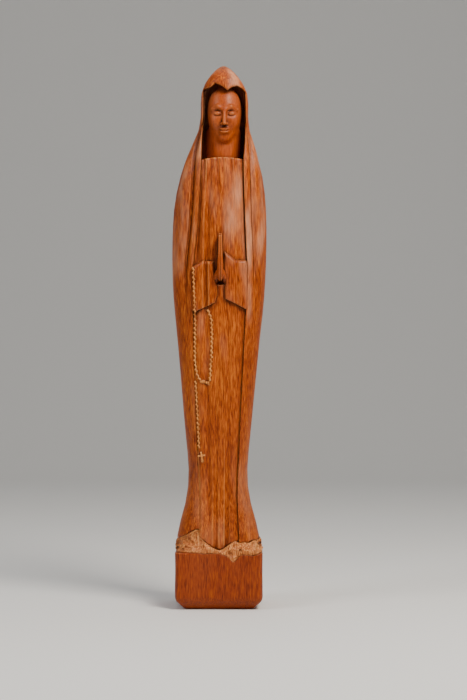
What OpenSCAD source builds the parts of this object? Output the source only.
// Standing figure of a praying woman in a hooded mantle, with a rosary, on a square plinth.
// Every size is in millimetres. +Z is up, the figure faces -Y, and the origin is the centre of
// the plinth's underside. "right" and "left" are the figure's own, so right is towards -X.

/* [Figure] */
// Height from the plinth's underside to the tip of the hood
overall_h = 430; // [355:5:520]
// Width of the hood at the temples
hood_w = 38.6; // [32:0.2:47]
// Depth of the hood at the temples
hood_d = 40; // [33:0.5:48]
// Width of the mantle where it is widest, below the shoulders
shoulder_w = 74.5; // [62:0.5:90]
// Depth of the mantle where it is widest
shoulder_d = 50; // [41:0.5:62]
// Width of the mantle where it is narrowest, above the hem
ankle_w = 47; // [39:0.5:58]
// Depth of the mantle where it is narrowest
ankle_d = 41; // [34:0.5:50]
// Width of the mantle at its hem
hem_w = 66; // [55:0.5:80]
// Depth of the mantle at its hem
hem_d = 55; // [45:0.5:70]
// How far the head stands to the left of the plinth's centre
head_offset = 4.4; // [0:0.2:8]

/* [Plinth and ground] */
// Width of the plinth
plinth_w = 69.5; // [57:0.5:90]
// Depth of the plinth
plinth_d = 60; // [50:0.5:80]
// Height of the plinth's smooth block
plinth_h = 40; // [25:1:60]
// Size of the chamfer around the plinth's foot
foot_chamfer = 7; // [2:0.5:10]
// Size of the chamfer along the plinth's upright corners
corner_chamfer = 3; // [1:0.5:6]
// Height of the rough ground above the block
ground_h = 14; // [10:0.5:22]
// How far the gown's hem dips into the ground at the front
hem_dip = 8; // [4:0.5:10]

/* [Mantle and gown] */
// Thickness of the mantle over the gown
mantle_t = 4; // [3:0.25:5.5]
// Thickness of the hood around the head
hood_t = 3; // [2.4:0.2:4]
// Width of the turned-back strip along the mantle's front edges
lapel_w = 5; // [3.5:0.25:6]
// How far that strip stands above the mantle
lapel_proud = 0.8; // [0.4:0.1:1.5]
// Half the width of the mantle's front opening at the hands
opening_hw = 21.4; // [17.5:0.1:26]
// Depth of the gown's upright folds
fold_depth = 0.8; // [0.3:0.1:1.2]

/* [Head] */
// Gap between the head and the hood on each side
face_gap = 3; // [2:0.25:5]
// Gap between the head and the hood behind it
nape_gap = 4.5; // [3:0.25:6]
// Gap between the crown and the hood over it
crown_gap = 4; // [3:0.25:6]
// Width of the peg under the neck
neck_peg_w = 16; // [10:0.5:20]
// Length of the peg under the neck
neck_peg_h = 12; // [8:0.5:20]

/* [Sleeves and hands] */
// How far a sleeve stands above the gown
sleeve_proud = 6; // [5:0.1:8]
// Length of a sleeve's hanging edge
sleeve_h = 34; // [26:0.5:44]
// Height of the hands, from the wrists to the fingertips
hand_h = 34; // [26:0.5:42]
// Breadth of one hand, from the thumb to the little finger
hand_d = 9; // [7:0.25:12]
// Thickness of one hand
hand_t = 2.6; // [2:0.1:3.4]
// Diameter of the wrist
wrist_w = 3.6; // [3:0.1:4.4]

/* [Rosary] */
// Diameter of a bead
bead_w = 2.2; // [1.6:0.1:2.8]
// Distance from one bead to the next
bead_pitch = 4.4; // [3.6:0.1:6]
// Diameter of the cord between the beads
string_w = 0.9; // [0.6:0.1:1.4]
// Height of the cross
cross_h = 8; // [6:0.5:12]
// Width of the cross
cross_w = 5.6; // [4:0.2:8]

/* [Fits] */
// Gap left between two pieces that lie against each other
seat_gap = 0.15; // [0.1:0.05:0.3]

/* [Hidden] */

// Heights, measured down from the hood's tip or up from the ground
ground_z = plinth_h + ground_h;
ankle_z = ground_z + 50;
shoulder_z = overall_h - 120;
collar_z = overall_h - 74;
brow_z = overall_h - 19;
chin_z = overall_h - 60;
hands_z = overall_h - 168;
// Larger than half of the figure's width and depth, for cutting prisms and blocks
reach = 60;
edge_steps = 24;

// Cutters for the plinth's chamfers
foot_cut = foot_chamfer * sqrt(2);
corner_cut = corner_chamfer * sqrt(2);
// Ground: its ledge around the hem, its chips, and the squareness of the block that it sits on
hem_ledge = 0.8;
chip_depth = 2;
rock_rings = 5;
block_power = 0.25;
// The hem's dip is an arc over the width of the opening
hem_half = opening_hw - 5.2;
hem_r = (hem_half^2 + hem_dip^2) / (2 * hem_dip);
hem_back = 6;
// Height of the room over the brow inside the hood
hood_room = 7;
// Head and neck, inside the hood
head_w = hood_w - 2 * (hood_t + face_gap);
head_d = hood_d - 2 * (hood_t + nape_gap);
head_h = brow_z + hood_room - crown_gap - chin_z;
head_y = -1.5;
head_rings = 14;
head_points = 28;
neck_w = head_w - 1.6;
neck_x = head_offset * 0.8;
neck_y = -0.5;
// Hands, each with a wrist that lies in the thickness of a sleeve
hand_x = 1.2;
wrist_l = 9;
wrist_z = hands_z + 3.4;
// Room between a sleeve and the mantle's edge
sleeve_rim = 0.5;
// Rosary
medal_w = 8;
medal_t = 1.6;
cross_arm = 1.8;

// Shape of the sections: 2 is an ellipse, and more is squarer
squareness = 2.3;
section_points = 36;

// Smooth curve through stations [[height, value], ...] in rising order of height
function slope(s, i) =
  let (a = max(i - 1, 0), b = min(i + 1, len(s) - 1)) (s[b][1] - s[a][1]) / (s[b][0] - s[a][0]);
function span_of(s, z, i = 0) = i >= len(s) - 2 || z < s[i + 1][0] ? i : span_of(s, z, i + 1);
function curve(s, z) =
  let (
    i = span_of(s, z),
    h = s[i + 1][0] - s[i][0],
    t = max(0, min(1, (z - s[i][0]) / h))
  )
  (2 * t^3 - 3 * t^2 + 1) * s[i][1] + (t^3 - 2 * t^2 + t) * h * slope(s, i)
  + (3 * t^2 - 2 * t^3) * s[i + 1][1] + (t^3 - t^2) * h * slope(s, i + 1);
function mix(a, b, t) = a + (b - a) * t;

// Half-size of the figure at each height, from its sizes at the hem, ankle, shoulder and hood
function outline(hem, ankle, shoulder, hood) = [
  [plinth_h - 4, hem * 1.06],
  [ground_z, hem],
  [mix(ground_z, ankle_z, 0.24), mix(hem, ankle, 0.27)],
  [mix(ground_z, ankle_z, 0.5), mix(hem, ankle, 0.66)],
  [ankle_z, ankle],
  [mix(ankle_z, shoulder_z, 0.21), mix(ankle, shoulder, 0.26)],
  [mix(ankle_z, shoulder_z, 0.45), mix(ankle, shoulder, 0.58)],
  [mix(ankle_z, shoulder_z, 0.73), mix(ankle, shoulder, 0.97)],
  [shoulder_z, shoulder],
  [overall_h - 90, mix(hood, shoulder, 0.77)],
  [overall_h - 62, mix(hood, shoulder, 0.27)],
  [overall_h - 47, hood],
  [overall_h - 30, hood * 0.98],
  [overall_h - 18.5, hood * 0.9],
  [overall_h - 9, hood * 0.6],
  [overall_h - 4, hood * 0.38],
  [overall_h, hood * 0.08]
];
width_stations = outline(hem_w / 2, ankle_w / 2, shoulder_w / 2, hood_w / 2);
depth_stations = outline(hem_d / 2, ankle_d / 2, shoulder_d / 2, hood_d / 2);
lean_stations = [
  [0, 0], [ankle_z, -0.8], [shoulder_z, 0.8], [collar_z, head_offset * 0.65],
  [overall_h - 40, head_offset], [overall_h, head_offset - 0.6]
];
sway_stations = [
  [0, 0], [ground_z, 0], [shoulder_z, 1.5], [collar_z, 0.5], [overall_h - 30, -1], [overall_h, 0]
];
// The mantle's front opening: half its width, and its middle
opening_stations = [
  [plinth_h, opening_hw - 5.2], [ankle_z - 16, opening_hw - 6.4], [ankle_z + 14, opening_hw - 5.2],
  [hands_z - 62, opening_hw - 1.9], [hands_z, opening_hw], [hands_z + 44, opening_hw - 2.8],
  [collar_z, opening_hw - 4.8], [brow_z - 12, hood_w / 2 - 2.6], [brow_z, hood_w / 2 - 2.8]
];
middle_stations = [
  [plinth_h, 0.8], [ankle_z, -0.5], [hands_z - 62, 0], [hands_z, 0.9], [shoulder_z, head_offset / 2],
  [collar_z, head_offset * 0.65], [overall_h - 40, head_offset], [overall_h, head_offset - 0.6]
];

function half_w(z) = curve(width_stations, z);
function half_d(z) = curve(depth_stations, z);
function lean(z) = curve(lean_stations, z);
function sway(z) = curve(sway_stations, z);
function edge(side, z) = curve(middle_stations, z) + side * curve(opening_stations, z);

// Depth of the gown's folds at an angle from the front: whole at the front, none behind
function folds(a) = fold_depth * cos(a * 11) * max(0, 1 - (a / 75)^2);

// One closed section at height z, its outline moved out by grow, with the folds times ripple
function section(z, grow, ripple = 0) = [
  for (i = [0:section_points - 1])
    let (
      a = 360 * i / section_points,
      away = a > 180 ? a - 360 : a,
      out = grow + ripple * folds(away),
      p = 2 / squareness
    )
    [
      lean(z) + (half_w(z) + out) * sign(sin(a)) * pow(abs(sin(a)), p),
      sway(z) - (half_d(z) + out) * sign(cos(a)) * pow(abs(cos(a)), p),
      z
    ]
];

// Front of the figure above or below a point, moved out by grow
function front_y(x, z, grow) =
  sway(z) - (half_d(z) + grow)
  * pow(1 - pow(min(1, abs(x - lean(z)) / (half_w(z) + grow)), squareness), 1 / squareness);

// Heights of the sections from bottom to top: even below the collar, closer together above it
function heights(bottom, top) = [
  for (z = [bottom:(min(top, collar_z) - bottom) / 22:min(top, collar_z) - 0.001]) z,
  for (i = [0:10]) let (z = mix(collar_z, top, sin(9 * i))) if (top > collar_z) z,
  if (top <= collar_z) top
];

// Closed solid through a list of rings of points
module loft(rings) {
  n = len(rings[0]);
  m = len(rings);
  polyhedron(
    points = [for (ring = rings) each ring],
    faces = [
      [for (i = [0:n - 1]) i],
      for (j = [0:m - 2], i = [0:n - 1])
        each [
          [j * n + i, (j + 1) * n + (i + 1) % n, j * n + (i + 1) % n],
          [j * n + i, (j + 1) * n + i, (j + 1) * n + (i + 1) % n]
        ],
      [for (i = [n - 1:-1:0]) (m - 1) * n + i]
    ]
  );
}

// The figure's whole form between two heights
module form(bottom, top, grow = 0, ripple = 0) {
  loft([for (z = heights(bottom, top)) section(z, grow, ripple)]);
}

// Scalloped edge of the hood's brow, from left to right, about the head's middle
brow = [[16.4, 0], [10.4, 3.6], [2.8, 0.2], [-6.6, 5.8], [-10.4, 2.8], [-16.2, 1.4]];

// Middle of the wrists, halfway through the sleeves' thickness
wrist_y = front_y(hand_x, wrist_z, sleeve_proud / 2 - mantle_t);
palm_y = wrist_y - 2.4;

// The rosary's lines: distances in from the mantle's right edge, and heights below the hands
function inside(points) = [
  for (p = points) [edge(-1, hands_z - p[1]) + p[0], hands_z - p[1]]
];
outer_path = inside([[1, -5], [1.3, 26], [1.5, 36], [1.5, 66], [2.1, 76], [4.2, 81]]);
inner_path = inside([[14.2, 32], [14.8, 42], [14.5, 52], [14, 62], [13, 71], [12.4, 79]]);
pendant_path = inside([[1.5, 85], [1.5, 91], [1.8, 109], [1.8, 135]]);
medal_at = inside([[8.8, 83]])[0];
cross_at = inside([[4.2, 142]])[0];

// Prism from in front of the figure back to its middle, over an outline in X and Z
module front_prism(points, back = 0) {
  translate([0, back, 0]) rotate([90, 0, 0]) linear_extrude(reach) polygon(points);
}

// Outline of the mantle's front opening, moved out by margin, between two heights
function edge_points(side, margin, bottom, top) = [
  for (i = [0:edge_steps])
    let (z = mix(bottom, top, i / edge_steps)) [edge(side, z) + side * margin, z]
];
function reversed(list) = [for (i = [len(list) - 1:-1:0]) list[i]];
function opening_outline(margin, bottom, top) = concat(
  edge_points(1, margin, bottom, top), reversed(edge_points(-1, margin, bottom, top))
);
function face_outline() = concat(
  edge_points(1, 0, collar_z - 1, brow_z - 2),
  [for (p = brow) [head_offset + p[0], brow_z + p[1]]],
  reversed(edge_points(-1, 0, collar_z - 1, brow_z - 2))
);

// What the mantle wraps: the gown up to the collar
module gown_form(grow = 0) {
  form(ground_z - hem_dip, collar_z, grow - mantle_t, 1);
}

// The rounded hollow in the ground that the gown's hem dips into at the front
module hem_hollow(grow = 0) {
  translate([0, -hem_back, ground_z - hem_dip + hem_r])
    rotate([90, 0, 0]) cylinder(r = hem_r + grow, h = reach, $fn = 96);
}

module plinth() {
  color([0.55, 0.25, 0.08])
    difference() {
      translate([-plinth_w / 2, -plinth_d / 2, 0]) cube([plinth_w, plinth_d, plinth_h]);
      for (sx = [-1, 1]) {
        translate([sx * plinth_w / 2, 0, 0]) rotate([0, 45, 0])
          cube([foot_cut, plinth_d + 1, foot_cut], center = true);
        for (sy = [-1, 1])
          translate([sx * plinth_w / 2, sy * plinth_d / 2, plinth_h / 2]) rotate([0, 0, 45])
            cube([corner_cut, corner_cut, plinth_h + 1], center = true);
      }
      for (sy = [-1, 1])
        translate([0, sy * plinth_d / 2, 0]) rotate([45, 0, 0])
          cube([plinth_w + 1, foot_cut, foot_cut], center = true);
    }
}

// Rough ground: from the plinth's squared outline in to the hem's, with chips out of its sides
module rock_ground() {
  chips = rands(-chip_depth, 0, section_points * (rock_rings + 1), 7);
  rings = [
    for (j = [0:rock_rings])
      let (t = j / rock_rings, z = mix(plinth_h, ground_z, t), hem = section(ground_z, hem_ledge))
      [
        for (i = [0:section_points - 1])
          let (
            a = 360 * i / section_points,
            chip = 1 + chips[j * section_points + i] * sin(180 * t) / (plinth_w / 2),
            block = [
              (plinth_w / 2) * sign(sin(a)) * pow(abs(sin(a)), block_power),
              -(plinth_d / 2) * sign(cos(a)) * pow(abs(cos(a)), block_power)
            ]
          )
          [chip * mix(block[0], hem[i][0], t), chip * mix(block[1], hem[i][1], t), z]
      ]
  ];
  color([0.8, 0.52, 0.32])
    difference() {
      loft(rings);
      hem_hollow(seat_gap);
    }
}

module gown() {
  color([0.74, 0.42, 0.22])
    difference() {
      gown_form();
      difference() {
        translate([-reach, -reach, 0]) cube([2 * reach, 2 * reach, ground_z]);
        hem_hollow();
      }
      translate([neck_x, neck_y, collar_z - neck_peg_h - seat_gap])
        cylinder(d = neck_peg_w + 2 * seat_gap, h = neck_peg_h + 1, $fn = 64);
    }
}

module mantle() {
  color([0.7, 0.36, 0.15])
    difference() {
      form(ground_z, overall_h);
      gown_form(seat_gap);
      form(collar_z - 0.5, brow_z + hood_room, -hood_t);
      front_prism(opening_outline(lapel_w + seat_gap, plinth_h, collar_z + seat_gap));
      front_prism(face_outline());
    }
}

// Turned-back strip along one front edge of the mantle, from the hem to the collar
module lapel(side) {
  strip = concat(
    edge_points(side, 0, plinth_h, collar_z), reversed(edge_points(side, lapel_w, plinth_h, collar_z))
  );
  color([0.76, 0.42, 0.18])
    intersection() {
      difference() {
        form(ground_z, collar_z - seat_gap, lapel_proud);
        gown_form(seat_gap);
      }
      front_prism(strip, -2 * seat_gap);
    }
}

// Half-width of the head at a share of its height, as a share of its widest
egg = [
  [0, 0.16], [0.08, 0.42], [0.22, 0.73], [0.4, 0.93], [0.6, 1], [0.8, 0.88], [0.93, 0.58], [1, 0.12]
];
module head() {
  color([0.76, 0.42, 0.2]) {
    loft([
      for (j = [0:head_rings])
        let (u = j / head_rings, z = chin_z + head_h * u, size = curve(egg, u))
        [
          for (i = [0:head_points - 1])
            let (a = 360 * i / head_points)
            [
              lean(z) + size * head_w / 2 * sin(a),
              head_y - pow(size, 0.8) * head_d / 2 * cos(a),
              z
            ]
        ]
    ]);
    hull() {
      translate([head_offset, head_y - head_d / 2 + 1, chin_z + head_h * 0.6]) sphere(r = 1.2, $fn = 20);
      translate([head_offset, head_y - head_d / 2 - 1.2, chin_z + head_h * 0.4]) sphere(r = 1.7, $fn = 20);
    }
    translate([neck_x, neck_y, collar_z]) cylinder(d = neck_w, h = chin_z - collar_z + 9, $fn = 64);
    translate([neck_x, neck_y, collar_z - neck_peg_h])
      cylinder(d = neck_peg_w, h = neck_peg_h + 1, $fn = 64);
  }
}

// Outline of a sleeve: its top at the wrist and elbow, its outer side just inside the mantle's
// edge, its slanting foot, and its inner side
function sleeve_outline(side, inner, wrist_top, elbow_top) =
  let (
    mid = curve(middle_stations, hands_z),
    elbow_z = hands_z + elbow_top - 2.5,
    foot_z = hands_z + 6 - sleeve_h,
    elbow_x = edge(side, elbow_z) - side * sleeve_rim,
    foot_x = edge(side, foot_z) - side * sleeve_rim
  )
  [
    [mid + side * inner, hands_z + wrist_top],
    [elbow_x - side * 4, elbow_z + 4.5],
    [elbow_x, elbow_z],
    [foot_x, foot_z],
    [foot_x - side * 2, foot_z - 1],
    [mid + side * (inner - 0.6), hands_z + 12 - sleeve_h],
    [mid + side * (inner - 0.4), hands_z - 8]
  ];
module sleeve(side, inner, wrist_top, elbow_top) {
  color([0.78, 0.46, 0.24])
    intersection() {
      difference() {
        form(hands_z - sleeve_h, hands_z + 24, sleeve_proud - mantle_t);
        gown_form(seat_gap);
        wrist(side, wrist_l + seat_gap, seat_gap);
      }
      front_prism(sleeve_outline(side, inner, wrist_top, elbow_top));
    }
}

// Middle of a hand's thickness: the two palms face each other across a gap
function hand_mid(side) = hand_x + side * (hand_t + seat_gap) / 2;

// Wrist, lying along X from the palm into the sleeve
module wrist(side, length, grow = 0) {
  translate([hand_mid(side), wrist_y, wrist_z])
    rotate([0, side * 90, 0]) cylinder(d = wrist_w + 2 * grow, h = length, $fn = 48);
}

// One hand, held upright with its palm against the other
module hand(side) {
  finger_y = palm_y - hand_d + hand_t;
  color([0.7, 0.4, 0.16]) {
    hull() {
      for (p = [
        [palm_y, -2, 1], [finger_y, 0, 1], [palm_y + 0.5, hand_h * 0.38, 1],
        [finger_y, hand_h * 0.45, 1], [palm_y - hand_d * 0.42, hand_h - hand_t - 2, 0.7]
      ])
        translate([hand_mid(side), p[0], hands_z + p[1]]) sphere(d = hand_t * p[2], $fn = 20);
    }
    wrist(side, wrist_l);
  }
}

// Points along a line of [x, z] at a distance s from its start
function leg(path, i) = norm(path[i + 1] - path[i]);
function length_of(path, i = 0) = i >= len(path) - 1 ? 0 : leg(path, i) + length_of(path, i + 1);
function along(path, s, i = 0) =
  i >= len(path) - 2 || s <= leg(path, i)
  ? path[i] + (path[i + 1] - path[i]) * s / leg(path, i)
  : along(path, s - leg(path, i), i + 1);

// Where a bead lies at [x, z]: on a sleeve above its foot, and falling back to the gown below it
function bead_at(p) =
  let (
    on_sleeve = max(0, min(1, (p[1] - (hands_z - sleeve_h - 6)) / 12)),
    grow = mix(fold_depth, sleeve_proud, on_sleeve) - mantle_t
  )
  [p[0], front_y(p[0], p[1], grow + bead_w / 2 + seat_gap), p[1]];

// Beads on a cord along a line of [x, z] over the front of the figure
module strand(path) {
  count = floor(length_of(path) / bead_pitch);
  spots = [for (i = [0:count]) bead_at(along(path, i * bead_pitch))];
  color([0.86, 0.6, 0.38]) {
    for (p = spots)
      translate(p) sphere(d = bead_w, $fn = 24);
    for (i = [0:count - 1])
      let (d = spots[i + 1] - spots[i])
        translate(spots[i]) rotate([0, acos(d[2] / norm(d)), atan2(d[1], d[0])])
          cylinder(d = string_w, h = norm(d), $fn = 16);
  }
}

// Small piece laid flat against the gown at [x, z], its face turned with the surface
module on_gown(p, thickness) {
  grow = fold_depth - mantle_t;
  turn = atan2(front_y(p[0] + 1, p[1], grow) - front_y(p[0] - 1, p[1], grow), 2);
  translate([p[0], front_y(p[0], p[1], grow + thickness / 2 + 2 * seat_gap), p[1]])
    rotate([0, 0, turn]) rotate([90, 0, 0]) children();
}
module rosary_medal() {
  color([0.88, 0.64, 0.42])
    on_gown(medal_at, medal_t)
      rotate([0, 0, -12]) linear_extrude(medal_t, center = true)
        scale([1, 0.48]) circle(d = medal_w, $fn = 40);
}
module rosary_cross() {
  color([0.88, 0.64, 0.42])
    on_gown(cross_at, medal_t) {
      cube([cross_arm, cross_h, medal_t], center = true);
      translate([0, cross_h * 0.14, 0]) cube([cross_w, cross_arm, medal_t], center = true);
    }
}

plinth();
rock_ground();
gown();
mantle();
lapel(-1);  // right_lapel
lapel(1);  // left_lapel
head();
sleeve(-1, 2.8, 12.5, 9);  // right_sleeve
sleeve(1, 4.4, 15.5, 6.5);  // left_sleeve
hand(-1);  // right_hand
hand(1);  // left_hand
strand(outer_path);  // rosary_outer_strand
strand(inner_path);  // rosary_inner_strand
rosary_medal();
strand(pendant_path);  // rosary_pendant
rosary_cross();
